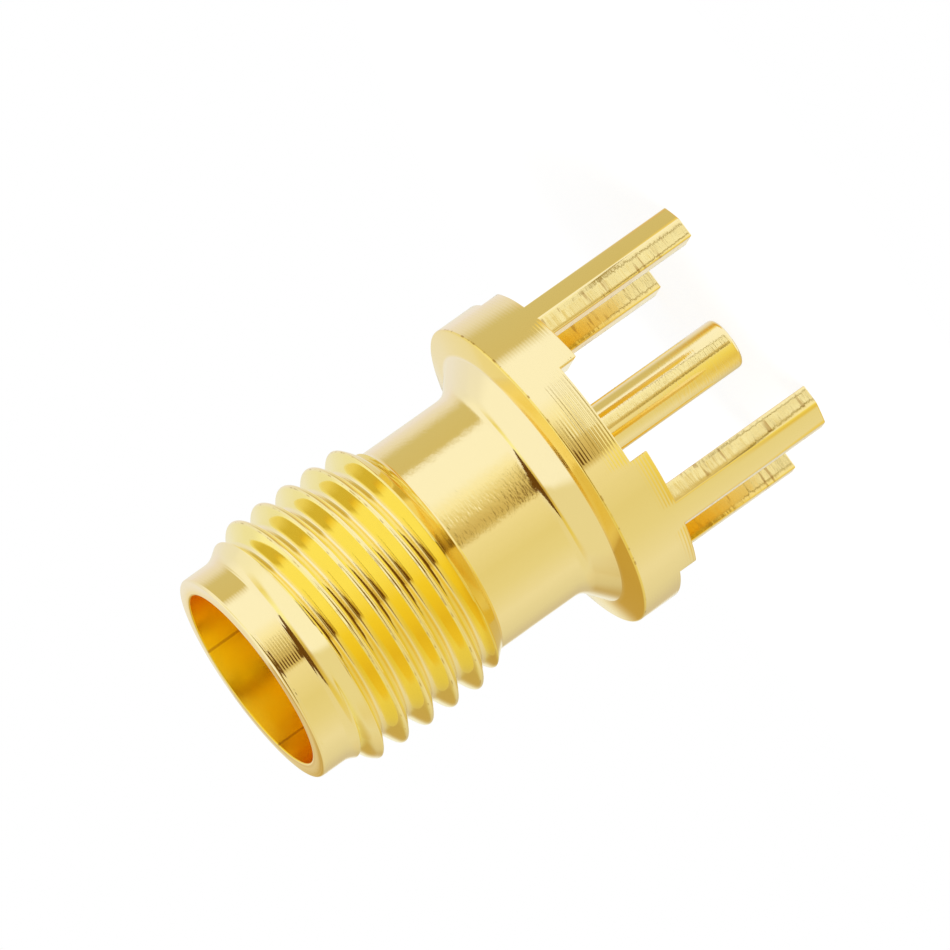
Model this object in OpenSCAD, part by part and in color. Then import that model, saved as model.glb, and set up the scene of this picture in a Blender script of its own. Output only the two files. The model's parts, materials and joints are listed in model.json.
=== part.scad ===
// SMA jack for a circuit board: a turned body with a 1/4-36 coupling thread, four legs
// milled from the same bar, a PTFE insulator and a slotted centre contact.
// The board seat (the faces of the pads) is at z = 0, and the mouth points along +Z.

/* [Mouth] */
// Inside diameter of the mouth that takes the plug
mouth_d = 4.6; // [4.4:0.05:4.8]
// Depth of the mouth, from its rim to the face of the insulator
mouth_depth = 1.9; // [1.5:0.1:2.5]
// Bevel on the inner edge of the mouth
mouth_bevel = 0.08; // [0.02:0.01:0.15]
// Outside diameter of the plain pilot in front of the thread
pilot_d = 5.4; // [5.2:0.05:5.6]
// Length of the plain pilot
pilot_len = 0.83; // [0.5:0.01:1.5]
// Bevel on the outer edge of the mouth
pilot_bevel = 0.05; // [0.02:0.01:0.15]

/* [Coupling thread] */
// Outside diameter of the thread, 1/4 inch less the play of a class 2A fit
thread_d = 6.3; // [6.3:0.05:7]
// Pitch of the thread, 36 turns to the inch
thread_pitch = 0.7056; // [0.5:0.0001:0.71]
// Length of the threaded part, with the bevels at its two ends
thread_len = 4.23; // [3:0.01:6]
// Length of the bevel where the thread starts, towards the mouth
thread_lead = 0.62; // [0.2:0.02:0.8]
// Length of the bevel where the thread runs out, towards the flange
thread_runout = 0.5; // [0.2:0.02:0.8]
// Angle at which the thread's groove starts, about the axis
thread_phase = 21.5; // [0:0.1:359]

/* [Neck and flange] */
// Diameter of the neck behind the thread
neck_d = 5.4; // [5.2:0.05:5.8]
// Length of the neck
neck_len = 2.4; // [1:0.05:5]
// Length of the cone that joins the neck to the flange
cone_len = 0.54; // [0.3:0.02:1.2]
// Largest diameter of that cone
cone_d = 6.64; // [6:0.05:7.4]
// How far the front face of the flange falls away from the cone to the rim
face_fall = 0.12; // [0.04:0.02:0.4]
// Diameter of the flange
flange_d = 8; // [7.8:0.1:9]
// Thickness of the flange at its rim, from the board seat
flange_t = 1.5; // [1:0.02:3]
// Width of the fine bevels on the rim and at the ends of the legs
edge_break = 0.05; // [0.02:0.01:0.1]

/* [Pads and legs] */
// Height of the pads that lift the flange off the board
pad_h = 0.46; // [0.2:0.02:0.8]
// Width of the cross slot that parts the four pads
slot_w = 2.64; // [1.5:0.02:3.5]
// Diameter of the round recess in the middle of the pads
recess_d = 5.4; // [4.5:0.1:5.8]
// Distance between the centre lines of the legs
leg_pitch = 5.16; // [4.9:0.02:5.4]
// Width of each leg
leg_w = 0.92; // [0.7:0.02:1.04]
// Length of the legs below the board seat
leg_len = 4; // [2:0.1:6]

/* [Insulator] */
// Diameter of the insulator
insulator_d = 4.1; // [3.6:0.05:4.2]
// Gap left at each pressed joint, between the solids
press_gap = 0.01; // [0.005:0.005:0.03]

/* [Centre contact] */
// Diameter of the solder pin
pin_d = 1.27; // [1.2:0.01:1.5]
// How much shorter the pin is than the legs
pin_short = 0.06; // [0:0.02:1]
// Bevel at the end of the pin
pin_bevel = 0.1; // [0.02:0.01:0.2]
// Outside diameter of the contact inside the insulator
contact_d = 1.27; // [1.2:0.01:1.4]
// How far the contact's face lies behind the face of the insulator
contact_sunk = 0.1; // [0:0.02:0.25]
// Diameter of the contact's socket
socket_d = 0.92; // [0.88:0.01:0.95]
// Depth of the socket
socket_depth = 2.95; // [2.5:0.05:3.4]
// Width of the slots that part the socket's four fingers
finger_slot_w = 0.15; // [0.1:0.01:0.2]
// Length of those slots
finger_slot_len = 2.2; // [1.5:0.05:2.4]
// Diameter over the barbs that grip the insulator, the first of them flush with its rear face
barb_d = 1.7; // [1.64:0.02:2]
// Length of one barb
barb_len = 0.6; // [0.3:0.05:0.8]
// Distance from one barb to the next
barb_step = 1.2; // [0.9:0.05:1.6]

/* [Hidden] */
$fn = 96;
past = 1;                 // how far a cutter reaches past what it cuts
thread_steps = 40;        // straight steps in one turn of the groove
barb_count = 3;
gold = [0.93, 0.78, 0.42];
ptfe = [0.95, 0.95, 0.93];

// Levels along the axis, stacked from the board seat to the rim of the mouth
z_cone = flange_t + face_fall;
z_neck = z_cone + cone_len;
z_thread = z_neck + neck_len;
z_pilot = z_thread + thread_len;
z_mouth = z_pilot + pilot_len;
z_face = z_mouth - mouth_depth;
z_pin_end = pin_short - leg_len;
z_contact = z_face - contact_sunk;

// Thread form: 60 degrees, with a crest flat of an eighth of the pitch
crest_flat = thread_pitch / 8;
thread_depth = 0.6134 * thread_pitch;
root_r = thread_d / 2 - thread_depth;
flank = tan(30);
groove_clear = 0.06;      // how far the groove's cutter stands past the crests

// Half the width of the thread's groove at a radius
function groove_half(r) = (thread_pitch - crest_flat) / 2 + (r - thread_d / 2) * flank;

// Corner points of the groove's section: radius, and height above the groove's middle
function groove_section(r_out) = [
    [root_r, -groove_half(root_r)],
    [root_r, groove_half(root_r)],
    [r_out, groove_half(r_out)],
    [r_out, -groove_half(r_out)],
];

// The bar after turning: bore, mouth, pilot, thread blank, neck, cone and flange
module turned_blank() {
    rotate_extrude() polygon([
        [insulator_d / 2 + press_gap, -leg_len],
        [flange_d / 2 - edge_break, -leg_len],
        [flange_d / 2, edge_break - leg_len],
        [flange_d / 2, flange_t - edge_break],
        [flange_d / 2 - edge_break, flange_t],
        [cone_d / 2, z_cone],
        [neck_d / 2, z_neck],
        [neck_d / 2, z_thread],
        [thread_d / 2, z_thread + thread_runout],
        [thread_d / 2, z_pilot - thread_lead],
        [pilot_d / 2, z_pilot],
        [pilot_d / 2, z_mouth - pilot_bevel],
        [pilot_d / 2 - pilot_bevel, z_mouth],
        [mouth_d / 2 + mouth_bevel, z_mouth],
        [mouth_d / 2, z_mouth - mouth_bevel],
        [mouth_d / 2, z_face],
        [insulator_d / 2 + press_gap, z_face],
    ]);
}

// A right-hand helical cutter, which runs out past both ends of the threaded part
module thread_groove() {
    section = groove_section(thread_d / 2 + groove_clear);
    corners = len(section);
    overrun = 0.7 * thread_pitch;
    steps = ceil((thread_len + 2 * overrun) / thread_pitch * thread_steps);
    points = [
        for (i = [0:steps], c = section)
            let (a = thread_phase + 360 * i / thread_steps)
            [c.x * cos(a), c.x * sin(a), z_thread - overrun + thread_pitch * i / thread_steps + c.y]
    ];
    sides = [
        for (i = [0:steps - 1], k = [0:corners - 1])
            let (p = i * corners + k, q = i * corners + (k + 1) % corners)
            each [[q, p, p + corners], [q, p + corners, q + corners]]
    ];
    first = [for (k = [0:corners - 1]) k];
    last = [for (k = [corners - 1:-1:0]) steps * corners + k];
    polyhedron(points, concat([first], sides, [last]), convexity = 20);
}

// What the mill takes away below the board seat, which leaves four posts standing
module leg_clearance() {
    difference() {
        translate([0, 0, -leg_len - past]) cylinder(d = flange_d + 2 * past, h = leg_len + past);
        for (quarter = [0:3])
            rotate(90 * quarter)
                translate([(leg_pitch - leg_w) / 2, (leg_pitch - leg_w) / 2, -leg_len - 2 * past])
                    cube([leg_w, leg_w, leg_len + 3 * past]);
    }
}

// The two slots and the round recess that part the pads
module pad_slots() {
    for (quarter = [0:1])
        rotate(90 * quarter)
            translate([-flange_d / 2 - past, -slot_w / 2, -past])
                cube([flange_d + 2 * past, slot_w, pad_h + past]);
    translate([0, 0, -past]) cylinder(d = recess_d, h = pad_h + past);
}

module body() {
    color(gold) difference() {
        turned_blank();
        thread_groove();
        leg_clearance();
        pad_slots();
    }
}

// Half section of one barb, a cone that lets the contact slide in from the rear but not back out
function barb(base, gap) = [
    [barb_d / 2 + gap, base],
    [contact_d / 2 + gap, base + barb_len],
];

// Outline of the contact from its pin to its face, each radius larger by a gap
function contact_outline(gap) = concat(
    [[0, z_pin_end], [pin_d / 2 - pin_bevel + gap, z_pin_end]],
    [[pin_d / 2 + gap, z_pin_end + pin_bevel], [pin_d / 2 + gap, pad_h]],
    barb(pad_h, gap),
    [
        for (i = [1:barb_count - 1])
            let (base = pad_h + i * barb_step)
            each [[contact_d / 2 + gap, base], each barb(base, gap)]
    ],
    [[contact_d / 2 + gap, z_contact], [0, z_contact]]
);

module insulator() {
    color(ptfe) difference() {
        translate([0, 0, pad_h]) cylinder(d = insulator_d, h = z_face - pad_h);
        rotate_extrude() polygon(contact_outline(press_gap));
        translate([0, 0, z_contact]) cylinder(r = contact_d / 2 + press_gap, h = contact_sunk + past);
    }
}

module center_contact() {
    color(gold) difference() {
        rotate_extrude() polygon(contact_outline(0));
        translate([0, 0, z_contact - socket_depth]) cylinder(d = socket_d, h = socket_depth + past);
        for (quarter = [0:1])
            rotate(90 * quarter)
                translate([-contact_d, -finger_slot_w / 2, z_contact - finger_slot_len])
                    cube([2 * contact_d, finger_slot_w, finger_slot_len + past]);
    }
}

body();
insulator();
center_contact();
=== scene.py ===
"""Looks of a gold-plated SMA jack for a circuit board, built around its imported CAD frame.

Meshes are worked out in millimetres and made in metres. The axis is Z, the board seat is z = 0.
"""

import json
import math

import bmesh
import bpy
from mathutils import Matrix, Vector


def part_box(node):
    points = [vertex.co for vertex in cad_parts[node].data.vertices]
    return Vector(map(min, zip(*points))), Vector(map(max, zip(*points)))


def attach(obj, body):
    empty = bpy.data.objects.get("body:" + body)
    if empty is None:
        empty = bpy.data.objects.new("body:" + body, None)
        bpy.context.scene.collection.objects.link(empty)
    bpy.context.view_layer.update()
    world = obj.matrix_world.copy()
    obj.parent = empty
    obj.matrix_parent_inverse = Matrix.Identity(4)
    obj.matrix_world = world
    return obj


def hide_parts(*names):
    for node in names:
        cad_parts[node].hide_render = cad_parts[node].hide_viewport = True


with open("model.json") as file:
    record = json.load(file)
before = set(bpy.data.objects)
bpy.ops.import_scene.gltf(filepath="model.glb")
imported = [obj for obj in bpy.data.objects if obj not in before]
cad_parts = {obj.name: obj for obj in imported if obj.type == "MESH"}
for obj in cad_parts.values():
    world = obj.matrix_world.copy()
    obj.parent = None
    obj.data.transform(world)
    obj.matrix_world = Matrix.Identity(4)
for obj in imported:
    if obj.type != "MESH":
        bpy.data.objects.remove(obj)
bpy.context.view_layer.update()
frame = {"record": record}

MM = 0.001

# ---------------------------------------------------------------- sizes, in millimetres


def node_box(node):
    """Lowest and highest corner of a CAD node, in millimetres."""
    return [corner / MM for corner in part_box(node)]


def mount_dims(name):
    """The dims of one of the record's mounts."""
    return next(m["dims"] for m in frame["record"]["mounts"] if m["name"] == name)


body_low, body_high = node_box("body")
insulator_low, insulator_high = node_box("insulator")
contact_low, contact_high = node_box("center_contact")

FLANGE_R = body_high.x
LEG_END = body_low.z
Z_MOUTH = body_high.z
MOUTH_R = mount_dims("plug_bore")["r_mm"]
INSULATOR_R = insulator_high.x
PAD_H = insulator_low.z
Z_FACE = insulator_high.z
PIN_R = mount_dims("solder_pin")["r_mm"]
PIN_END = contact_low.z
BARB_R = contact_high.x
Z_CONTACT = contact_high.z
SOCKET_R = mount_dims("contact_socket")["r_mm"]
SOCKET_DEPTH = mount_dims("contact_socket")["length_mm"]

# Sizes that the frame doesn't carry, from the part's source
PRESS_GAP = 0.01
PILOT_R = 2.7
PILOT_LEN = 0.83
THREAD_R = 3.15
THREAD_PITCH = 0.7056
THREAD_LEN = 4.23
THREAD_LEAD = 0.62
THREAD_RUNOUT = 0.5
THREAD_PHASE = 21.5
NECK_R = 2.7
NECK_LEN = 2.4
CONE_R = 3.32
CONE_LEN = 0.54
FACE_FALL = 0.12
SLOT_HALF = 1.32
RECESS_R = 2.7
LEG_IN = 2.12
LEG_OUT = 3.04
FINGER_SLOT_HALF = 0.075
FINGER_LEN = 2.2
BARB_LEN = 0.6
BARB_STEP = 1.2
BARB_COUNT = 3

# Roundings and other fine sizes, where the source has bevels, sharp corners or flats
BORE_ROUND = 0.02         # of both corners of the step from the mouth to the insulator's bore
MOUTH_ROUND = 0.025
LIP_WIDTH = 0.12          # of the mouth's level face, before it falls away to the pilot
LIP_FALL = 0.012
LIP_ROUND = 0.08
PILOT_ROUND = 0.06
NECK_ROUND = 0.5
CONE_ROUND = 0.05
RIM_ROUND = 0.05
MILLED_ROUND = 0.03
PIN_ROUND = 0.12
TIP_ROUND_OUT = 0.05
TIP_ROUND_IN = 0.06
INSULATOR_ROUND = 0.04
HOLE_ROUND = 0.03
CORE_R = 0.1              # radius of the flats at the end of the pin and at the bottom of the socket
DRILL_POINT = 0.12        # depth of the cone at the bottom of the socket

Z_PILOT = Z_MOUTH - PILOT_LEN
Z_THREAD = Z_PILOT - THREAD_LEN
Z_NECK = Z_THREAD - NECK_LEN
Z_CONE = Z_NECK - CONE_LEN
Z_RIM = Z_CONE - FACE_FALL

# ---------------------------------------------------------------- mesh helpers


class Shell:
    """Points and faces of one mesh. Points that fall on each other are shared."""

    def __init__(self):
        self.points = []
        self.faces = []
        self.known = {}

    def point(self, radius, angle, z):
        """Index of the point at a radius, an angle in degrees and a height."""
        a = math.radians(angle)
        place = (radius * math.cos(a), radius * math.sin(a), z)
        key = tuple(round(c, 4) + 0.0 for c in place)
        if key not in self.known:
            self.known[key] = len(self.points)
            self.points.append(place)
        return self.known[key]

    def face(self, *corners):
        """One face, without the corners that fall together."""
        kept = [c for i, c in enumerate(corners) if c != corners[i - 1]]
        if len(kept) > 2:
            self.faces.append(kept)

    def strip(self, first, second, closed=True):
        """Quads between two rows of the same length."""
        count = len(first)
        for i in range(count if closed else count - 1):
            n = (i + 1) % count
            self.face(first[i], first[n], second[n], second[i])

    def lathe(self, profile, angles):
        """Rings for the (radius, z) points of a profile, and the strips that join them."""
        rings = [[self.point(r, a, z) for a in angles] for r, z in profile]
        for lower, upper in zip(rings, rings[1:]):
            self.strip(lower, upper)
        return rings

    def mesh(self, name):
        """The mesh in metres, with its faces turned outwards."""
        mesh = bpy.data.meshes.new(name)
        mesh.from_pydata([[c * MM for c in p] for p in self.points], [], self.faces)
        bm = bmesh.new()
        bm.from_mesh(mesh)
        bmesh.ops.recalc_face_normals(bm, faces=bm.faces)
        bm.to_mesh(mesh)
        bm.free()
        return mesh


ARC_STEPS = 4


def rounded(corners):
    """A profile of (radius, z, rounding) corners, with each corner made an arc of that rounding."""
    profile = []
    for i, (r, z, rounding) in enumerate(corners):
        if rounding == 0:
            profile.append((r, z))
            continue
        corner = Vector((r, z))
        back = (Vector(corners[i - 1][:2]) - corner).normalized()
        ahead = (Vector(corners[i + 1][:2]) - corner).normalized()
        half = back.angle(ahead) / 2
        centre = corner + (back + ahead).normalized() * (rounding / math.sin(half))
        reach = rounding / math.tan(half)
        start, end = corner + back * reach - centre, corner + ahead * reach - centre
        for k in range(ARC_STEPS + 1):
            profile.append(tuple(centre + start.slerp(end, k / ARC_STEPS) * rounding))
    return profile


def piece(name, mesh, material, replaced):
    """A piece that stands for a CAD node and rides with the part."""
    obj = bpy.data.objects.new(name, mesh)
    bpy.context.scene.collection.objects.link(obj)
    mesh.materials.append(material)
    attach(obj, "root")
    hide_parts(replaced)
    return obj


SHARP = math.radians(35)


def mark_edges(mesh, broken_below=None):
    """Marks the sharp edges. Below a height, if one is given, the outer ones are rounded first."""
    bm = bmesh.new()
    bm.from_mesh(mesh)
    if broken_below is not None:
        outer = [
            e for e in bm.edges
            if e.calc_face_angle_signed(0) > SHARP and all(v.co.z < broken_below * MM for v in e.verts)
        ]
        bmesh.ops.bevel(
            bm, geom=outer, offset=MILLED_ROUND * MM, offset_type="OFFSET", segments=3, profile=0.5,
            affect="EDGES", clamp_overlap=True,
        )
    for e in bm.edges:
        e.smooth = e.calc_face_angle(0) < SHARP
    bm.to_mesh(mesh)
    bm.free()


def smooth(obj):
    """Smooth shading, in which large faces keep their own direction beside fine roundings."""
    obj.data.polygons.foreach_set("use_smooth", [True] * len(obj.data.polygons))
    weighted = obj.modifiers.new("weighted", "WEIGHTED_NORMAL")
    weighted.mode = "FACE_AREA"
    weighted.keep_sharp = True


# ---------------------------------------------------------------- body

COLUMNS = 168             # even columns round the body, before the edges of pads and legs
COLUMN_GAP = 1.1          # least angle between an even column and such an edge, in degrees


def polar(x, y):
    """Angle of a point, in degrees."""
    return math.degrees(math.atan2(y, x))


def quadrant_edges():
    """Angles of the pad's and the leg's edges in the first quadrant, from one slot to the other."""
    slot_at_rim = math.degrees(math.asin(SLOT_HALF / FLANGE_R))
    slot_at_recess = math.degrees(math.asin(SLOT_HALF / RECESS_R))
    leg_corner = polar(LEG_OUT, LEG_IN)
    leg_at_rim = math.degrees(math.acos(LEG_OUT / FLANGE_R))
    lower = [slot_at_rim, slot_at_recess, leg_corner, leg_at_rim]
    return lower + [45] + [90 - a for a in reversed(lower)]


def column_angles():
    """Angles of the columns that all rings of the body share."""
    edges = [a + 90 * quarter for quarter in range(4) for a in quadrant_edges()]
    even = [360 * i / COLUMNS for i in range(COLUMNS)]
    clear = [a for a in even if min(abs(a - e) for e in edges) > COLUMN_GAP]
    return sorted(clear + edges)


def smooth_min(a, b, blend):
    """The lesser of two values, with their crossing rounded over a blend width."""
    h = max(blend - abs(a - b), 0) / blend
    return min(a, b) - h * h * blend / 4


def smooth_max(a, b, blend):
    """The greater of two values, with their crossing rounded over a blend width."""
    return -smooth_min(-a, -b, blend)


CREST_FLAT = THREAD_PITCH / 8
THREAD_DEPTH = 0.6134 * THREAD_PITCH
ROOT_R = THREAD_R - THREAD_DEPTH
FLANK = math.tan(math.radians(30))
GROOVE_OVERRUN = 0.7 * THREAD_PITCH       # how far the groove starts before the threaded part
GROOVE_START = Z_THREAD - GROOVE_OVERRUN - THREAD_PITCH * THREAD_PHASE / 360

# Widths of the roundings between the thread's surfaces
CREST_BLEND = 0.075
ROOT_BLEND = 0.05
STREAK_BLEND = 0.17       # in the root too, on the side of the flank that faces the mouth
CONE_BLEND = 0.03         # where the lead and the run-out meet the crests
PILOT_BLEND = 0.14        # where the lead meets the pilot
NECK_BLEND = PILOT_BLEND / 3
CUT_BLEND = CONE_BLEND / 3

# How far before the lead's end and after the run-out's start the groove gets shallower, and how steeply
FADE_LEAD = 0.2
FADE_RUNOUT = 0.1
FADE_SLOPE = 2

THREAD_ROWS = 32          # even rows in one pitch, before those at the corners of the thread form
CORNER_ROWS = (-0.014, -0.007, 0, 0.007, 0.014)
ROW_GAP = 0.004           # least distance between an even row and one at a corner
STRIP_MARGIN = 0.29       # how far the thread's strip reaches onto the pilot and the neck
STRIP_START = Z_THREAD - THREAD_PITCH - STRIP_MARGIN
STRIP_TOP = Z_MOUTH - 0.12
STRIP_GAP = 0.01          # between the strip's first row and the neck's ring below it


def groove_half(r):
    """Half the width of the thread's groove at a radius."""
    return (THREAD_PITCH - CREST_FLAT) / 2 + (r - THREAD_R) * FLANK


def groove_centre():
    """Where the groove's middle lies above the strip's first row, within one pitch."""
    return (GROOVE_START - STRIP_START) % THREAD_PITCH


def thread_radius(z, rise):
    """Radius of the threaded part at a height, and at a rise above the strip's first row."""
    off = (rise - groove_centre() + THREAD_PITCH / 2) % THREAD_PITCH - THREAD_PITCH / 2
    flank_r = ROOT_R + (abs(off) - groove_half(ROOT_R)) / FLANK
    groove = smooth_max(ROOT_R, flank_r, STREAK_BLEND if off < 0 else ROOT_BLEND)
    groove += FADE_SLOPE * max(0, z - Z_PILOT + FADE_LEAD, Z_THREAD + FADE_RUNOUT - z)
    runout = NECK_R + (z - Z_THREAD) * (THREAD_R - NECK_R) / THREAD_RUNOUT
    lead = PILOT_R + (Z_PILOT - z) * (THREAD_R - PILOT_R) / THREAD_LEAD
    blank = smooth_min(smooth_min(runout, lead, CONE_BLEND), THREAD_R, CONE_BLEND)
    in_front = z > (Z_THREAD + Z_PILOT) / 2
    blank = smooth_max(blank, NECK_R, PILOT_BLEND if in_front else NECK_BLEND)
    cut = smooth_min(blank, groove, CREST_BLEND)
    return smooth_max(cut, NECK_R, CUT_BLEND)


def thread_rows():
    """Rises of the strip's rows above its first row, within one pitch."""
    even = [THREAD_PITCH * i / THREAD_ROWS for i in range(THREAD_ROWS)]
    corners = [
        (groove_centre() + side * groove_half(r) + step) % THREAD_PITCH
        for side in (-1, 1) for r in (ROOT_R, THREAD_R) for step in CORNER_ROWS
    ]
    clear = [s for s in even[1:] if min(abs(s - c) for c in corners) > ROW_GAP]
    inside = [c for c in corners if ROW_GAP / 2 < c < THREAD_PITCH - ROW_GAP / 2]
    return sorted([0] + clear + inside)


def add_thread(shell, angles, low_ring, high_ring):
    """The thread's surface: one strip that winds up from a ring on the neck to one on the pilot."""
    count = len(angles)
    rises = thread_rows()
    rows = len(rises)
    known = {}

    def point(column, row):
        """The strip's point: a last row is the first row a turn later, and none lies above the top."""
        if row == rows:
            column, row = column + count, 0
        if (column, row) not in known:
            turned = 360 * (column // count) + angles[column % count] - angles[0]
            z = STRIP_START + THREAD_PITCH * turned / 360 + rises[row]
            rise = THREAD_PITCH * angles[0] / -360 + rises[row]
            radius = thread_radius(z, rise)
            if z > STRIP_TOP:
                radius, z = PILOT_R, STRIP_TOP
            known[column, row] = shell.point(radius, angles[column % count], z)
        return known[column, row]

    turns = (Z_PILOT + STRIP_MARGIN - STRIP_START) / THREAD_PITCH
    last = math.ceil(turns * count)
    for column in range(last):
        for row in range(rows):
            shell.face(point(column, row), point(column + 1, row),
                       point(column + 1, row + 1), point(column, row + 1))
    for c in range(count - 1):
        shell.face(low_ring[c], low_ring[c + 1], point(c + 1, 0), point(c, 0))
    shell.face(low_ring[-1], low_ring[0], *[point(0, row) for row in range(rows + 1)],
               point(count - 1, 0))
    for c in range(last + 1, last + count):
        shell.face(point(c, 0), point(c + 1, 0), high_ring[(c + 1) % count], high_ring[c % count])
    shell.face(point(last + 1, 0), high_ring[(last + 1) % count], high_ring[last % count],
               *[point(last, row) for row in range(rows, -1, -1)])


def recess_radius(angle):
    """Outline of the slots and the recess between the pads, at an angle within one quadrant."""
    a = math.radians(min(angle, 90 - angle))
    if SLOT_HALF >= FLANGE_R * math.sin(a):
        return FLANGE_R
    return max(SLOT_HALF / math.sin(a), RECESS_R)


def leg_radii(angle):
    """Inner and outer radius of the leg at an angle within one quadrant."""
    a = math.radians(min(angle, 90 - angle))
    return LEG_IN / math.sin(a), min(LEG_OUT / math.cos(a), FLANGE_R)


SAME_ANGLE = 1e-6         # degrees within which two angles count as one


def add_rear(shell, angles, bore_ring):
    """Everything behind the flange: the floor of the slots, the pads and the legs."""
    edges = quadrant_edges()
    pad_from, pad_to = edges[0], edges[-1]
    leg_from, leg_to = edges[2], edges[-3]
    within = [a % 90 for a in angles]
    floor = [shell.point(recess_radius(q), a, PAD_H) for q, a in zip(within, angles)]
    shell.strip(bore_ring, floor)
    count = len(angles)

    def leg_corner(q, a):
        """The leg's corner on the pad, if a column passes through it."""
        through = min(abs(q - leg_from), abs(q - leg_to)) < SAME_ANGLE
        return [shell.point(leg_radii(q)[0], a, 0)] if through else []

    for i in range(count):
        n = (i + 1) % count
        q0, q1 = within[i], within[n] or 90
        a0, a1 = angles[i], angles[n]

        def side(first, z_first, second, z_second):
            """A face between two pairs of radii at this column and the next, each at its height."""
            shell.face(shell.point(first[0], a0, z_first), shell.point(first[1], a1, z_first),
                       shell.point(second[1], a1, z_second), shell.point(second[0], a0, z_second))

        if q0 < pad_from - SAME_ANGLE or q1 > pad_to + SAME_ANGLE:
            continue
        inner = (recess_radius(q0), recess_radius(q1))
        rim = (FLANGE_R, FLANGE_R)
        side(inner, PAD_H, inner, 0)
        side(rim, PAD_H, rim, 0)
        if q0 < leg_from - SAME_ANGLE or q1 > leg_to + SAME_ANGLE:
            shell.face(
                shell.point(inner[0], a0, 0), shell.point(inner[1], a1, 0), *leg_corner(q1, a1),
                shell.point(FLANGE_R, a1, 0), shell.point(FLANGE_R, a0, 0), *leg_corner(q0, a0),
            )
            continue
        leg0, leg1 = leg_radii(q0), leg_radii(q1)
        leg_inner, leg_outer = (leg0[0], leg1[0]), (leg0[1], leg1[1])
        side(inner, 0, leg_inner, 0)
        side(leg_outer, 0, rim, 0)
        side(leg_inner, 0, leg_inner, LEG_END)
        side(leg_outer, 0, leg_outer, LEG_END)
        side(leg_inner, LEG_END, leg_outer, LEG_END)


def body_mesh():
    """The body as one closed mesh."""
    shell = Shell()
    angles = column_angles()
    bore_r = INSULATOR_R + PRESS_GAP
    front = shell.lathe(rounded([
        (bore_r, PAD_H, 0),
        (bore_r, Z_FACE, BORE_ROUND),
        (MOUTH_R, Z_FACE, BORE_ROUND),
        (MOUTH_R, Z_MOUTH, MOUTH_ROUND),
        (MOUTH_R + LIP_WIDTH, Z_MOUTH, LIP_ROUND),
        (PILOT_R, Z_MOUTH - LIP_FALL, PILOT_ROUND),
        (PILOT_R, STRIP_TOP, 0),
    ]), angles)
    flange = shell.lathe(rounded([
        (NECK_R, STRIP_START - STRIP_GAP, 0),
        (NECK_R, Z_NECK, NECK_ROUND),
        (CONE_R, Z_CONE, CONE_ROUND),
        (FLANGE_R, Z_RIM, RIM_ROUND),
        (FLANGE_R, PAD_H, 0),
    ]), angles)
    add_thread(shell, angles, flange[0], front[-1])
    add_rear(shell, angles, front[0])
    mesh = shell.mesh("body_shell")
    mark_edges(mesh, broken_below=PAD_H + MILLED_ROUND)
    return mesh


# ---------------------------------------------------------------- contact and insulator

FINGER_COLUMNS = 10
INSULATOR_COLUMNS = 96


def barbed_outline(gap):
    """Outline of the contact where the insulator holds it, with its radii larger by a gap."""
    outline = []
    for i in range(BARB_COUNT):
        base = PAD_H + i * BARB_STEP
        outline.append((PIN_R + gap, base))
        outline.append((BARB_R + gap, base))
        outline.append((PIN_R + gap, base + BARB_LEN))
    return outline


def finger_angles(r):
    """Angles of the fingers' columns at a radius: the slots between them have parallel sides."""
    edge = math.degrees(math.asin(FINGER_SLOT_HALF / r))
    steps = [edge + (90 - 2 * edge) * k / FINGER_COLUMNS for k in range(FINGER_COLUMNS + 1)]
    return [a + 90 * quarter for quarter in range(4) for a in steps]


def contact_mesh():
    """The contact as one closed mesh: solder pin, barbs and slotted socket."""
    shell = Shell()
    z_slot = Z_CONTACT - FINGER_LEN
    z_floor = Z_CONTACT - SOCKET_DEPTH

    def rows(profile):
        """Rings for the points of a profile."""
        return [[shell.point(r, a, z) for a in finger_angles(r)] for r, z in profile]

    def skin(rings):
        """The strips that join the rings."""
        for lower, upper in zip(rings, rings[1:]):
            shell.strip(lower, upper)

    pin = rounded([
        (CORE_R, PIN_END, 0),
        (PIN_R, PIN_END, PIN_ROUND),
        (PIN_R, PAD_H, 0),
    ])
    outside = rows(pin + barbed_outline(0)[1:] + [(PIN_R, z_slot)])
    skin(outside)
    shell.faces.append(outside[0])
    inside = rows([(SOCKET_R, z_slot), (SOCKET_R, z_floor), (CORE_R, z_floor - DRILL_POINT)])
    skin(inside)
    shell.faces.append(inside[-1])
    tips = rows(rounded([
        (PIN_R, z_slot, 0),
        (PIN_R, Z_CONTACT, TIP_ROUND_OUT),
        (SOCKET_R, Z_CONTACT, TIP_ROUND_IN),
        (SOCKET_R, z_slot, 0),
    ]))
    per_finger = FINGER_COLUMNS + 1
    for quarter in range(4):
        first = quarter * per_finger
        finger = [ring[first:first + per_finger] for ring in tips]
        for lower, upper in zip(finger, finger[1:]):
            shell.strip(lower, upper, closed=False)
        shell.faces.append([row[0] for row in finger])
        shell.faces.append([row[-1] for row in finger])
        end, start = first + per_finger - 1, (first + per_finger) % (4 * per_finger)
        shell.face(outside[-1][end], outside[-1][start], inside[0][start], inside[0][end])
    mesh = shell.mesh("contact_shell")
    mark_edges(mesh)
    return mesh


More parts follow.
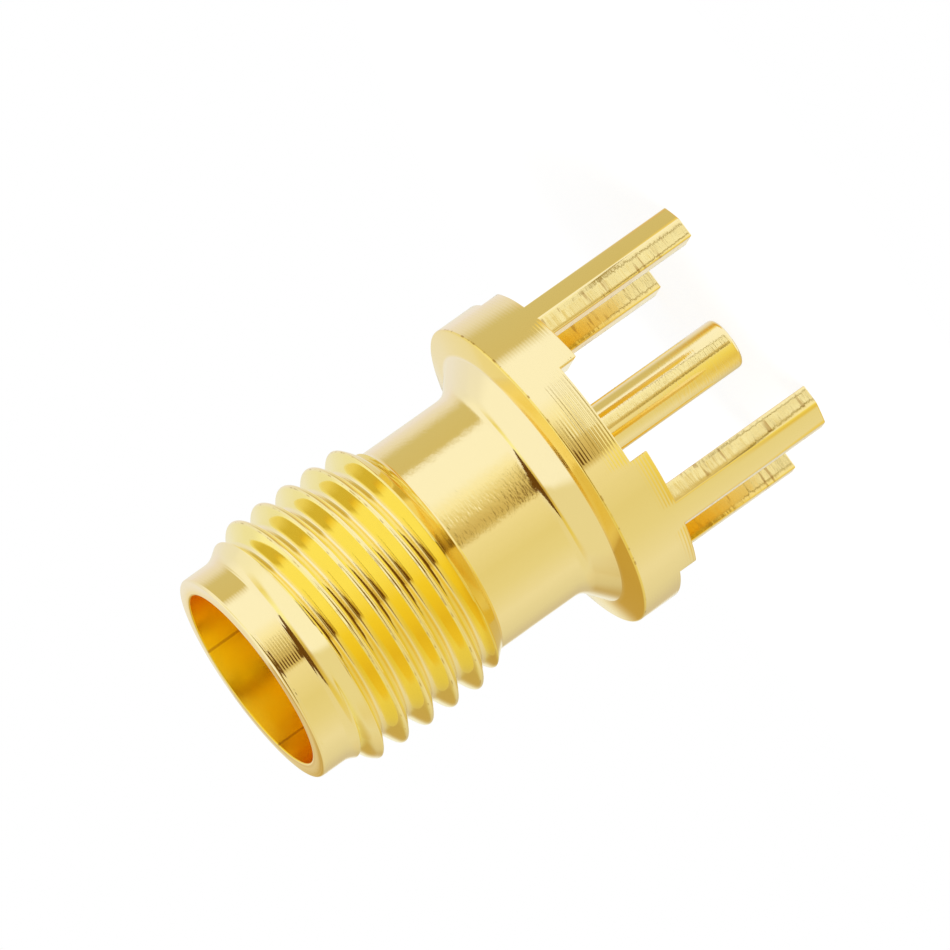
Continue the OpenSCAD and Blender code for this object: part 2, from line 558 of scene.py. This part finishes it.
def insulator_mesh():
    """The insulator as one closed mesh, cut to the contact's outline."""
    shell = Shell()
    hole_r = PIN_R + PRESS_GAP
    z_straight = Z_FACE - 1
    angles = [360 * i / INSULATOR_COLUMNS for i in range(INSULATOR_COLUMNS)]
    outside = rounded([
        (BARB_R + PRESS_GAP, PAD_H, 0),
        (INSULATOR_R, PAD_H, INSULATOR_ROUND),
        (INSULATOR_R, Z_FACE, INSULATOR_ROUND),
        (hole_r, Z_FACE, HOLE_ROUND),
        (hole_r, z_straight, 0),
    ])
    inside = list(reversed(barbed_outline(PRESS_GAP)[2:]))
    rings = shell.lathe(outside + inside, angles)
    shell.strip(rings[-1], rings[0])
    mesh = shell.mesh("insulator_shell")
    mark_edges(mesh)
    return mesh


# ---------------------------------------------------------------- materials


class Graph:
    """Builds one material's nodes. Values are sockets or plain numbers, and lengths are millimetres."""

    def __init__(self, name):
        self.material = bpy.data.materials.new(name)
        self.material.use_nodes = True
        self.nodes = self.material.node_tree.nodes
        self.links = self.material.node_tree.links
        self.shader = self.nodes["Principled BSDF"]
        place = self.nodes.new("ShaderNodeTexCoord").outputs["Object"]
        self.place = self.vector("SCALE", place, 1 / MM)
        split = self.nodes.new("ShaderNodeSeparateXYZ")
        self.put(self.place, split.inputs[0])
        self.x, self.y, self.z = split.outputs
        self.radius = self.math("SQRT", self.math("ADD", self.square(self.x), self.square(self.y)))
        self.turns = self.math("DIVIDE", self.math("ARCTAN2", self.y, self.x), math.tau)

    def put(self, value, socket):
        """Links a socket, or sets a plain value."""
        if isinstance(value, bpy.types.NodeSocket):
            self.links.new(value, socket)
        else:
            socket.default_value = value

    def math(self, operation, *values):
        """The result of one operation on numbers."""
        node = self.nodes.new("ShaderNodeMath")
        node.operation = operation
        for value, socket in zip(values, node.inputs):
            self.put(value, socket)
        return node.outputs[0]

    def vector(self, operation, value, factor):
        """A vector times a number, or times another vector."""
        node = self.nodes.new("ShaderNodeVectorMath")
        node.operation = operation
        self.put(value, node.inputs[0])
        self.put(factor, node.inputs["Scale" if operation == "SCALE" else 1])
        return node.outputs[0]

    def square(self, value):
        """A value times itself."""
        return self.math("MULTIPLY", value, value)

    def product(self, *values):
        """All the values multiplied."""
        result = values[0]
        for value in values[1:]:
            result = self.math("MULTIPLY", result, value)
        return result

    def ease(self, value, start, end, low=0, high=1):
        """A smooth change from low to high while the value goes from start to end."""
        node = self.nodes.new("ShaderNodeMapRange")
        node.interpolation_type = "SMOOTHSTEP"
        for v, name in ((value, "Value"), (start, "From Min"), (end, "From Max"),
                        (low, "To Min"), (high, "To Max")):
            self.put(v, node.inputs[name])
        return node.outputs["Result"]

    def span(self, value, rise, fall):
        """A mask that comes in over one stretch of a value and goes out over another."""
        return self.product(self.ease(value, *rise), self.ease(value, *fall))

    def noise(self, scale, stretch=(1, 1, 1), detail=2):
        """Noise from 0 to 1 with a scale in waves a millimetre."""
        node = self.nodes.new("ShaderNodeTexNoise")
        node.inputs["Scale"].default_value = scale
        node.inputs["Detail"].default_value = detail
        self.put(self.vector("MULTIPLY", self.place, stretch), node.inputs["Vector"])
        return node.outputs["Fac"]

    def drift(self, low, high):
        """A value that changes softly between low and high from place to place."""
        return self.ease(self.noise(3), 0.3, 0.7, low, high)

    def mix(self, factor, first, second):
        """A blend of two colours."""
        node = self.nodes.new("ShaderNodeMix")
        node.data_type = "RGBA"
        self.put(factor, node.inputs["Factor"])
        for value, name in ((first, "A"), (second, "B")):
            socket = next(i for i in node.inputs if i.name == name and i.type == "RGBA")
            self.put((*value, 1) if isinstance(value, tuple) else value, socket)
        return next(o for o in node.outputs if o.type == "RGBA")

    def bump(self, height, distance):
        """Relief of the surface: a height times a distance."""
        node = self.nodes.new("ShaderNodeBump")
        node.inputs["Distance"].default_value = distance * MM
        self.put(height, node.inputs["Height"])
        self.put(node.outputs["Normal"], self.shader.inputs["Normal"])


GOLD = (0.985, 0.855, 0.49)
# Painted reflection: where gold reflects gold the colour is painted deeper, in the thread, on the
# flange's sloped front, on the legs' inner faces and in the mouth
FLANK_PAINTED_REFLECTION = (0.995, 0.865, 0.30)
RUNOUT_PAINTED_REFLECTION = (0.92, 0.74, 0.20)
RING_PAINTED_REFLECTION = (0.96, 0.76, 0.22)
LEG_INNER_PAINTED_REFLECTION = (0.95, 0.62, 0.05)
BORE_PAINTED_REFLECTION = (0.95, 0.68, 0.04)
# Brown of the burrs and the mill's marks, also used for the painted dark reflections in the mouth
MARK_AND_REFLECTION_BROWN = (0.45, 0.24, 0.05)
PTFE = (0.9, 0.9, 0.88)

# Least and most roughness of the plating, and how much duller it is in the mouth and where it was milled
BODY_ROUGHNESS = (0.06, 0.11)
CONTACT_ROUGHNESS = (0.07, 0.12)
BORE_DULLER = 0.1
MILLED_DULLER = 0.05
PTFE_ROUGHNESS = 0.45

RELIEF = 0.0016           # height of the rings that the lathe left
CONTACT_RELIEF = 0.0007
PILOT_PITCH = 0.0685      # from one ring to the next, on the pilot and on the flange's rim
RIM_PITCH = 0.08
# Heights of other marks, against those rings
PILOT_SHARE = 0.9
NECK_SHARE = 3
MILLED_SHARE = 3

# How much the dark marks and the painted dark reflections hide of the gold
BORE_REFLECTION_DARKNESS = 0.6
MILL_MARK = 0.6
BURR_MARK = 0.75
CREST_SHARE = 0.7         # of the crests' burr, against the burr of the flange's edge

INNER_REFLECTION_FULL = -0.9         # height from which the legs' inner faces have the deepest painted reflection, which fades towards the legs' ends
CREST_LINE = 0.016        # half widths of the burrs' lines
EDGE_LINE = 0.03
EDGE_LINE_FALL = 0.04     # from the flange's front edge to the middle of its burr
SKIN = 0.06               # depth within which a point counts as on the outermost surface
BORE_LINES = (56.5, 127)  # angles of the painted dark reflection lines in the mouth, in degrees
BORE_LINE = 0.0035        # their half width, in turns
LINE_CORE = 0.4           # share of a line's half width that is at its darkest


def metal(graph, colour):
    """The shader's settings that all of the plated surfaces share."""
    graph.shader.inputs["Metallic"].default_value = 1
    graph.put(colour, graph.shader.inputs["Base Color"])


def cone_line(graph, z_start, r_start, z_end, r_end):
    """Radius of a cone at the shaded point's height."""
    slope = (r_end - r_start) / (z_end - z_start)
    return graph.math("MULTIPLY_ADD", graph.z, slope, r_start - z_start * slope)


def below_blank(g):
    """How far the shaded point lies below the bar from which the thread was cut."""
    runout = cone_line(g, Z_THREAD, NECK_R, Z_THREAD + THREAD_RUNOUT, THREAD_R)
    lead = cone_line(g, Z_PILOT, PILOT_R, Z_PILOT - THREAD_LEAD, THREAD_R)
    blank = g.math("MINIMUM", g.math("MINIMUM", runout, lead), THREAD_R)
    return g.math("SUBTRACT", blank, g.radius)


def from_crest(g):
    """Distance along the axis from the middle of the nearest crest."""
    pitches = g.math("DIVIDE", g.math("SUBTRACT", g.z, GROOVE_START), THREAD_PITCH)
    share = g.math("FRACT", g.math("SUBTRACT", pitches, g.turns))
    return g.math("MULTIPLY", g.math("SUBTRACT", share, 0.5), THREAD_PITCH)


def line_at(g, value, place, width):
    """A soft line where a value passes a place."""
    off = g.math("ABSOLUTE", g.math("SUBTRACT", value, place))
    return g.ease(off, width, width * LINE_CORE)


def burrs(g):
    """Broken dark lines along the crests and round the flange's front edge."""
    threaded = g.span(g.z, (Z_THREAD + 0.3, Z_THREAD + 0.5), (Z_PILOT - 0.2, Z_PILOT - 0.5))
    on_crest = g.ease(g.radius, THREAD_R - SKIN, THREAD_R - SKIN / 2)
    crest = g.product(line_at(g, from_crest(g), CREST_FLAT / 2, CREST_LINE), threaded, on_crest)
    on_rim = g.ease(g.radius, FLANGE_R - SKIN, FLANGE_R - SKIN / 2)
    edge = g.product(line_at(g, g.z, Z_RIM - EDGE_LINE_FALL, EDGE_LINE), on_rim)
    broken = g.ease(g.noise(4, (1, 1, 0.4), detail=4), 0.5, 0.66)
    return g.product(g.math("MAXIMUM", g.math("MULTIPLY", crest, CREST_SHARE), edge), broken)


def turning_rings(g, pitch):
    """Fine rings round the axis, a height from 0 to 1."""
    wave = g.math("SINE", g.math("MULTIPLY", g.z, math.tau / pitch))
    return g.math("MULTIPLY_ADD", wave, 0.5, 0.5)


def bore_reflection_lines(g):
    """Two fine dark lines along the wall of the mouth: painted reflections."""
    first, second = (line_at(g, g.turns, angle / 360, BORE_LINE) for angle in BORE_LINES)
    return g.math("MAXIMUM", first, second)


def chatter(g):
    """Short lines that the mill left across the legs, in patches."""
    lines = g.ease(g.noise(1, (0.9, 0.9, 8), detail=3), 0.55, 0.63)
    patches = g.ease(g.noise(1.7, detail=1), 0.42, 0.6)
    return g.product(lines, patches)


def body_colour(g, bore, behind, milled):
    """Gold, with painted reflection where it faces gold, painted dark reflections in the mouth, and the
    dark marks that the tools left.
    """
    # Where the painted reflection goes: the thread's flanks, its run-out, the flange's sloped front and
    # the legs' inner faces, deeper towards the pad
    threaded = g.span(g.z, (Z_THREAD, Z_THREAD + 0.1), (Z_PILOT, Z_PILOT - 0.1))
    on_flank = g.span(below_blank(g), (-0.02, 0.06), (THREAD_DEPTH - 0.01, THREAD_DEPTH - 0.06))
    flank = g.product(threaded, on_flank)
    runout = g.span(g.z, (Z_THREAD + 0.02, Z_THREAD + 0.06), (Z_THREAD + 0.5, Z_THREAD + 0.4))
    ring = g.span(g.z, (Z_RIM - 0.06, Z_RIM - 0.03), (Z_CONE, Z_CONE - 0.02))
    near_axis = g.math("MINIMUM", g.math("ABSOLUTE", g.x), g.math("ABSOLUTE", g.y))
    inner_face = g.ease(near_axis, LEG_IN + 0.012, LEG_IN + 0.004)
    inner = g.product(behind, inner_face, g.ease(g.z, LEG_END + 0.1, INNER_REFLECTION_FULL))

    # Painted reflection: deeper gold on the flanks, the run-out, the sloped front, the mouth and the
    # legs' inner faces
    colour = g.mix(flank, GOLD, FLANK_PAINTED_REFLECTION)
    colour = g.mix(runout, colour, RUNOUT_PAINTED_REFLECTION)
    colour = g.mix(ring, colour, RING_PAINTED_REFLECTION)
    colour = g.mix(bore, colour, BORE_PAINTED_REFLECTION)
    # Painted reflection: two dark lines on the mouth's wall
    colour = g.mix(g.product(bore, bore_reflection_lines(g), BORE_REFLECTION_DARKNESS), colour, MARK_AND_REFLECTION_BROWN)
    colour = g.mix(inner, colour, LEG_INNER_PAINTED_REFLECTION)
    colour = g.mix(g.product(milled, chatter(g), MILL_MARK), colour, MARK_AND_REFLECTION_BROWN)
    return g.mix(g.product(burrs(g), BURR_MARK), colour, MARK_AND_REFLECTION_BROWN)


def body_relief(g, milled):
    """Rings on the pilot and the rim, grain on the neck and waves on the milled faces."""
    on_pilot = g.product(g.ease(g.z, Z_PILOT, Z_PILOT + 0.1),
                         g.ease(g.radius, PILOT_R - 0.1, PILOT_R - 0.02))
    on_rim = g.product(g.ease(g.radius, FLANGE_R - 0.1, FLANGE_R - 0.02), g.ease(g.z, 0, 0.1))
    on_neck = g.span(g.z, (Z_NECK, Z_NECK + 0.2), (Z_THREAD, Z_THREAD - 0.1))
    grain = g.noise(5, (1.1, 1.1, 3), detail=4)
    waves = g.math("SUBTRACT", g.noise(1, (1.2, 1.2, 7), detail=3), 0.5)
    pilot_rings = g.product(turning_rings(g, PILOT_PITCH), on_pilot, PILOT_SHARE)
    rim_rings = g.product(turning_rings(g, RIM_PITCH), on_rim)
    relief = g.math("ADD", pilot_rings, rim_rings)
    relief = g.math("ADD", relief, g.product(grain, on_neck, NECK_SHARE))
    return g.math("ADD", relief, g.product(waves, milled, MILLED_SHARE))


def body_gold():
    """Gold plating over turned and milled brass."""
    g = Graph("body_gold")
    in_mouth = g.ease(g.radius, MOUTH_R + 0.03, MOUTH_R + 0.015)
    bore = g.product(in_mouth, g.ease(g.z, Z_FACE, Z_FACE + 0.01))
    behind = g.ease(g.z, 0.02, -0.02)
    milled = g.product(behind, g.ease(g.radius, FLANGE_R - 0.02, FLANGE_R - SKIN))
    metal(g, body_colour(g, bore, behind, milled))
    g.bump(body_relief(g, milled), RELIEF)
    rough = g.math("MULTIPLY_ADD", bore, BORE_DULLER, g.drift(*BODY_ROUGHNESS))
    g.put(g.math("MULTIPLY_ADD", milled, MILLED_DULLER, rough), g.shader.inputs["Roughness"])
    return g.material


def contact_gold():
    """Gold plating over the drawn and slotted contact."""
    g = Graph("contact_gold")
    scratches = g.ease(g.noise(2.5, (2, 2, 9), detail=3), 0.3, 0.7)
    metal(g, (*GOLD, 1))
    g.bump(scratches, CONTACT_RELIEF)
    g.put(g.drift(*CONTACT_ROUGHNESS), g.shader.inputs["Roughness"])
    return g.material


def ptfe():
    """The insulator's plain white plastic."""
    g = Graph("ptfe")
    g.put((*PTFE, 1), g.shader.inputs["Base Color"])
    g.put(PTFE_ROUGHNESS, g.shader.inputs["Roughness"])
    return g.material


# ---------------------------------------------------------------- stage, light and camera

VIEW_AZIMUTH = -5.925
VIEW_ELEVATION = 13.004
VIEW_ROLL = 125.342
VIEW_DISTANCE = 381.5
VIEW_WIDTH = 21.48689                    # of the view at the target, in millimetres
TARGET = Vector((0, 0, 2.674))
TARGET_OFF = (-0.472, 0.699)             # from the target to the view's middle, right and up
SENSOR_WIDTH = 36


def view_axes():
    """Right, up and forward of the camera."""
    a, e, roll = (math.radians(v) for v in (VIEW_AZIMUTH, VIEW_ELEVATION, VIEW_ROLL))
    forward = Vector((-math.sin(a) * math.cos(e), math.cos(a) * math.cos(e), -math.sin(e)))
    level = forward.cross(Vector((0, 0, 1))).normalized()
    raised = level.cross(forward)
    right = level * math.cos(roll) - raised * math.sin(roll)
    up = level * math.sin(roll) + raised * math.cos(roll)
    return right, up, forward


def add_camera():
    """The camera of the photo's view."""
    right, up, forward = view_axes()
    camera = bpy.data.objects.new("camera", bpy.data.cameras.new("camera"))
    bpy.context.scene.collection.objects.link(camera)
    place = TARGET + TARGET_OFF[0] * right + TARGET_OFF[1] * up - VIEW_DISTANCE * forward
    turn = Matrix((right, up, -forward)).transposed().to_4x4()
    camera.matrix_world = Matrix.Translation(place * MM) @ turn
    camera.data.sensor_width = SENSOR_WIDTH
    camera.data.lens = SENSOR_WIDTH * VIEW_DISTANCE / VIEW_WIDTH
    camera.data.clip_start = 0.01
    camera.data.clip_end = 10
    bpy.context.scene.camera = camera


def stage_object(name, points, faces, material):
    """A mesh that belongs to the studio, in millimetres."""
    mesh = bpy.data.meshes.new(name)
    mesh.from_pydata([[c * MM for c in p] for p in points], [], faces)
    mesh.materials.append(material)
    obj = bpy.data.objects.new(name, mesh)
    bpy.context.scene.collection.objects.link(obj)
    return obj


def lit_material(name, colour, strength=1, paint=None):
    """A surface that shines by itself. With paint, it scatters light as well."""
    material = bpy.data.materials.new(name)
    material.use_nodes = True
    nodes, links = material.node_tree.nodes, material.node_tree.links
    nodes.clear()
    surface = nodes.new("ShaderNodeEmission")
    surface.inputs["Color"].default_value = (*colour, 1)
    surface.inputs["Strength"].default_value = strength
    if paint is not None:
        diffuse = nodes.new("ShaderNodeBsdfDiffuse")
        diffuse.inputs["Color"].default_value = (*paint, 1)
        both = nodes.new("ShaderNodeAddShader")
        links.new(diffuse.outputs[0], both.inputs[0])
        links.new(surface.outputs[0], both.inputs[1])
        surface = both
    output = nodes.new("ShaderNodeOutputMaterial")
    links.new(surface.outputs[0], output.inputs["Surface"])
    return material


SCREEN_DISTANCE = 90
SCREEN_LOWEST = -60
SCREEN_COLUMNS = 96
SCREEN_ROWS = 30
# The dome round the part has bands of tints. Each has its colours by azimuth from the camera towards +X,
# and each band above the lowest has the elevations between which the one below gives way to it.
LOWEST_BAND = [
    (-170, (0.66, 0.55, 0.35)),
    (-122, (0.76, 0.58, 0.22)),
    (-95, (0.85, 0.68, 0.20)),
    (-68, (0.79, 0.60, 0.14)),
    (-40, (0.88, 0.72, 0.17)),
    (-20, (0.92, 0.79, 0.24)),
    (0, (0.96, 0.89, 0.60)),
    (24, (1, 0.99, 0.90)),
    (80, (1, 1, 1)),
    (90, (0.90, 0.73, 0.24)),
    (98, (0.71, 0.41, 0.07)),
    (110, (0.71, 0.39, 0.06)),
    (122, (0.81, 0.68, 0.45)),
    (160, (0.86, 0.85, 0.90)),
]
UPPER_BANDS = [
    ((-26, -20), [
        (-170, (0.92, 0.90, 0.80)),
        (-160, (0.66, 0.56, 0.37)),
        (-150, (0.66, 0.58, 0.40)),
        (-130, (0.77, 0.71, 0.50)),
        (-100, (0.86, 0.80, 0.60)),
        (-70, (0.81, 0.73, 0.42)),
        (-48, (0.79, 0.70, 0.37)),
        (-15, (0.88, 0.80, 0.52)),
        (-12, (0.66, 0.52, 0.21)),
        (-4, (0.64, 0.49, 0.19)),
        (12, (0.80, 0.68, 0.34)),
        (24, (0.97, 0.91, 0.66)),
        (38, (1, 1, 0.98)),
        (74, (1, 1, 1)),
        (83, (0.66, 0.555, 0.26)),
        (112, (0.66, 0.57, 0.29)),
        (128, (0.83, 0.78, 0.72)),
        (150, (0.87, 0.83, 0.91)),
        (170, (0.87, 0.84, 0.77)),
    ]),
    ((0, 12), [
        (-178.5, (0.70, 0.55, 0.30)),
        (-176.5, (0.78, 0.66, 0.40)),
        (-174.8, (0.57, 0.38, 0.10)),
        (-156, (0.57, 0.42, 0.17)),
        (-147, (0.70, 0.61, 0.37)),
        (-135, (0.78, 0.69, 0.45)),
        (-120, (0.82, 0.76, 0.54)),
        (-85, (0.83, 0.76, 0.50)),
        (-45, (0.80, 0.72, 0.43)),
        (-22, (0.86, 0.80, 0.60)),
        (0, (1, 0.96, 0.88)),
        (50, (1, 1, 1)),
        (105, (0.97, 0.96, 0.92)),
        (125, (0.87, 0.86, 0.86)),
        (150, (0.86, 0.85, 0.92)),
        (175, (0.88, 0.87, 0.93)),
        (178, (0.88, 0.80, 0.62)),
    ]),
    ((26, 29), [
        (-174.8, (0.57, 0.38, 0.09)),
        (-155, (0.60, 0.45, 0.20)),
        (-140, (0.72, 0.61, 0.35)),
        (-120, (0.82, 0.76, 0.56)),
        (-100, (0.80, 0.70, 0.40)),
        (-70, (0.80, 0.66, 0.18)),
        (-41, (0.73, 0.56, 0.13)),
        (-14, (0.56, 0.38, 0.07)),
        (12, (0.80, 0.66, 0.20)),
        (30, (1, 1, 0.6)),
        (45, (1, 1, 0.6)),
        (70, (0.87, 0.76, 0.29)),
        (100, (0.95, 0.94, 0.88)),
        (150, (0.86, 0.85, 0.90)),
        (178, (0.88, 0.82, 0.66)),
    ]),
]
# The dome's top is white, but warm to the camera's left, and darker in the far corner on that side
TOP_BAND = (36, 46)
TOP_WHITE = (0.99, 0.99, 0.99)
TOP_WARM = (0.82, 0.755, 0.51)
TOP_CORNER = (0.68, 0.50, 0.20)
TOP_LEFT = (-0.12 * SCREEN_DISTANCE, -0.22 * SCREEN_DISTANCE)
TOP_FAR = (0.35 * SCREEN_DISTANCE, 0.75 * SCREEN_DISTANCE)


def only_reflected(obj):
    """Hides a studio object from everything but the metal's reflections."""
    obj.visible_camera = False
    obj.visible_diffuse = False
    obj.visible_shadow = False
    obj.visible_transmission = False


def on_dome(azimuth, elevation, distance=SCREEN_DISTANCE):
    """Point at an azimuth from the camera towards +X, an elevation and a distance from the part."""
    a, e = math.radians(azimuth + VIEW_AZIMUTH - 90), math.radians(elevation)
    ahead = Vector((math.cos(a) * math.cos(e), math.sin(a) * math.cos(e), math.sin(e)))
    return TARGET + distance * ahead


def tint_ramp(g, around, stops):
    """One band's colours round the dome."""
    ramp = g.nodes.new("ShaderNodeValToRGB")
    elements = ramp.color_ramp.elements
    while len(elements) < len(stops):
        elements.new(0.5)
    for element, (azimuth, tint) in zip(elements, stops):
        element.position = azimuth / 360 + 0.5
        element.color = (*tint, 1)
    g.put(around, ramp.inputs["Fac"])
    return ramp.outputs["Color"]


def screen_material():
    """Light of the dome, by azimuth and height, and by place alone over its top."""
    g = Graph("screen")

    def rise(elevations):
        """Heights of two elevations on the dome."""
        return [on_dome(0, elevation).z for elevation in elevations]

    from_camera = g.math("ADD", g.turns, (90 - VIEW_AZIMUTH) / 360)
    around = g.math("ADD", g.math("WRAP", from_camera, 0.5, -0.5), 0.5)
    colour = tint_ramp(g, around, LOWEST_BAND)
    for elevations, stops in UPPER_BANDS:
        colour = g.mix(g.ease(g.z, *rise(elevations)), colour, tint_ramp(g, around, stops))
    a = math.radians(VIEW_AZIMUTH)
    across = g.math("ADD", g.math("MULTIPLY", g.x, math.cos(a)), g.math("MULTIPLY", g.y, math.sin(a)))
    away = g.math("SUBTRACT", g.math("MULTIPLY", g.y, math.cos(a)), g.math("MULTIPLY", g.x, math.sin(a)))
    left = g.ease(across, *TOP_LEFT)
    corner = g.product(left, g.ease(away, *TOP_FAR))
    top = g.mix(corner, g.mix(left, TOP_WHITE, TOP_WARM), TOP_CORNER)
    colour = g.mix(g.ease(g.z, *rise(TOP_BAND)), colour, top)
    emission = g.nodes.new("ShaderNodeEmission")
    g.put(colour, emission.inputs["Color"])
    g.put(emission.outputs[0], g.nodes["Material Output"].inputs["Surface"])
    return g.material


def add_screen():
    """A dome of soft tints about the part."""
    points = [
        on_dome(360 * i / SCREEN_COLUMNS, SCREEN_LOWEST + (90 - SCREEN_LOWEST) * k / SCREEN_ROWS)
        for k in range(SCREEN_ROWS) for i in range(SCREEN_COLUMNS)
    ]
    rows = [range(k * SCREEN_COLUMNS, (k + 1) * SCREEN_COLUMNS) for k in range(SCREEN_ROWS)]
    faces = []
    for lower, upper in zip(rows, rows[1:]):
        for i in range(SCREEN_COLUMNS):
            n = (i + 1) % SCREEN_COLUMNS
            faces.append([lower[i], lower[n], upper[n], upper[i]])
    faces.append(list(rows[-1]))
    only_reflected(stage_object("screen", points, faces, screen_material()))


CARD_DISTANCE = SCREEN_DISTANCE - 5
CARD_STEPS = 24


def add_card(name, azimuths, lower, upper, colour, distance=CARD_DISTANCE):
    """A curved card before the dome, between two azimuths. Its lower edge may slant."""
    points = []
    for i in range(CARD_STEPS + 1):
        azimuth = azimuths[0] + (azimuths[1] - azimuths[0]) * i / CARD_STEPS
        for elevation in (lower[0] + (lower[1] - lower[0]) * i / CARD_STEPS, upper):
            points.append(on_dome(azimuth, elevation, distance))
    faces = [[2 * i, 2 * i + 2, 2 * i + 3, 2 * i + 1] for i in range(CARD_STEPS)]
    only_reflected(stage_object(name, points, faces, lit_material(name, colour)))


FLOOR_R = 16
FLOOR_STEPS = 96
FLOOR_GREY = (0.25, 0.25, 0.25)
FLOOR_LIGHT = 0.86


def add_floor():
    """A small pale disc under the legs."""
    turns = [math.tau * i / FLOOR_STEPS for i in range(FLOOR_STEPS)]
    ring = [(FLOOR_R * math.cos(a), FLOOR_R * math.sin(a), LEG_END) for a in turns]
    material = lit_material("floor", (1, 1, 1), FLOOR_LIGHT, paint=FLOOR_GREY)
    floor = stage_object("floor", ring, [list(range(FLOOR_STEPS))], material)
    floor.visible_glossy = False


SCATTER_LEVEL = 0.5


def add_world():
    """White for the camera and the metal, and a plain level for everything that scatters light."""
    world = bpy.data.worlds.new("studio")
    bpy.context.scene.world = world
    world.use_nodes = True
    nodes, links = world.node_tree.nodes, world.node_tree.links
    background = nodes["Background"]
    background.inputs["Color"].default_value = (1, 1, 1, 1)
    rays = nodes.new("ShaderNodeLightPath")
    seen = rays.outputs["Is Camera Ray"]
    for kind in ("Is Glossy Ray", "Is Transmission Ray"):
        either = nodes.new("ShaderNodeMath")
        either.operation = "MAXIMUM"
        links.new(seen, either.inputs[0])
        links.new(rays.outputs[kind], either.inputs[1])
        seen = either.outputs[0]
    level = nodes.new("ShaderNodeMapRange")
    level.inputs["To Min"].default_value = SCATTER_LEVEL
    level.inputs["To Max"].default_value = 1
    links.new(seen, level.inputs["Value"])
    links.new(level.outputs["Result"], background.inputs["Strength"])


def add_lamp(name, place, size, power):
    """A square soft box that faces the part."""
    lamp = bpy.data.lights.new(name, "AREA")
    lamp.size = size * MM
    lamp.energy = power
    obj = bpy.data.objects.new(name, lamp)
    obj.location = Vector(place) * MM
    obj.rotation_euler = (TARGET - Vector(place)).to_track_quat("-Z", "Y").to_euler()
    obj.visible_glossy = False
    bpy.context.scene.collection.objects.link(obj)


# ---------------------------------------------------------------- the scene

GOLD_BOUNCES = 24         # with the renderer's own number, the ends of the mouth turn black
DARK_CARD = (0.14, 0.06, 0.008)

bpy.context.scene.view_settings.view_transform = "Standard"
bpy.context.scene.cycles.max_bounces = GOLD_BOUNCES
bpy.context.scene.cycles.glossy_bounces = GOLD_BOUNCES
add_camera()
add_world()
add_floor()
add_lamp("key", place=(-60, -60, 120), size=80, power=0.12)
add_screen()
# Cards for the dark streaks in the thread, the streaks' thin tails, the rings on the pilot and on the
# rim, and the pale faces of the legs
add_card("streak_card", (-11, 36), (-7.5, 26), 30, DARK_CARD)
add_card("line_card", (-50, -11), (28.5, 8), 30, DARK_CARD)
add_card("ribs_card", (-11, 22), (-7.6, -2.6), -2, (0.15, 0.08, 0.015), CARD_DISTANCE - 1)
add_card("rim_card", (-11, 45), (-25, -22), -20.6, (0.36, 0.26, 0.07))
add_card("leg_card", (6, 32), (-20.5, -20.5), -14.6, (1, 0.98, 0.80))

smooth(piece("body_shell", body_mesh(), body_gold(), "body"))
smooth(piece("contact_shell", contact_mesh(), contact_gold(), "center_contact"))
smooth(piece("insulator_shell", insulator_mesh(), ptfe(), "insulator"))
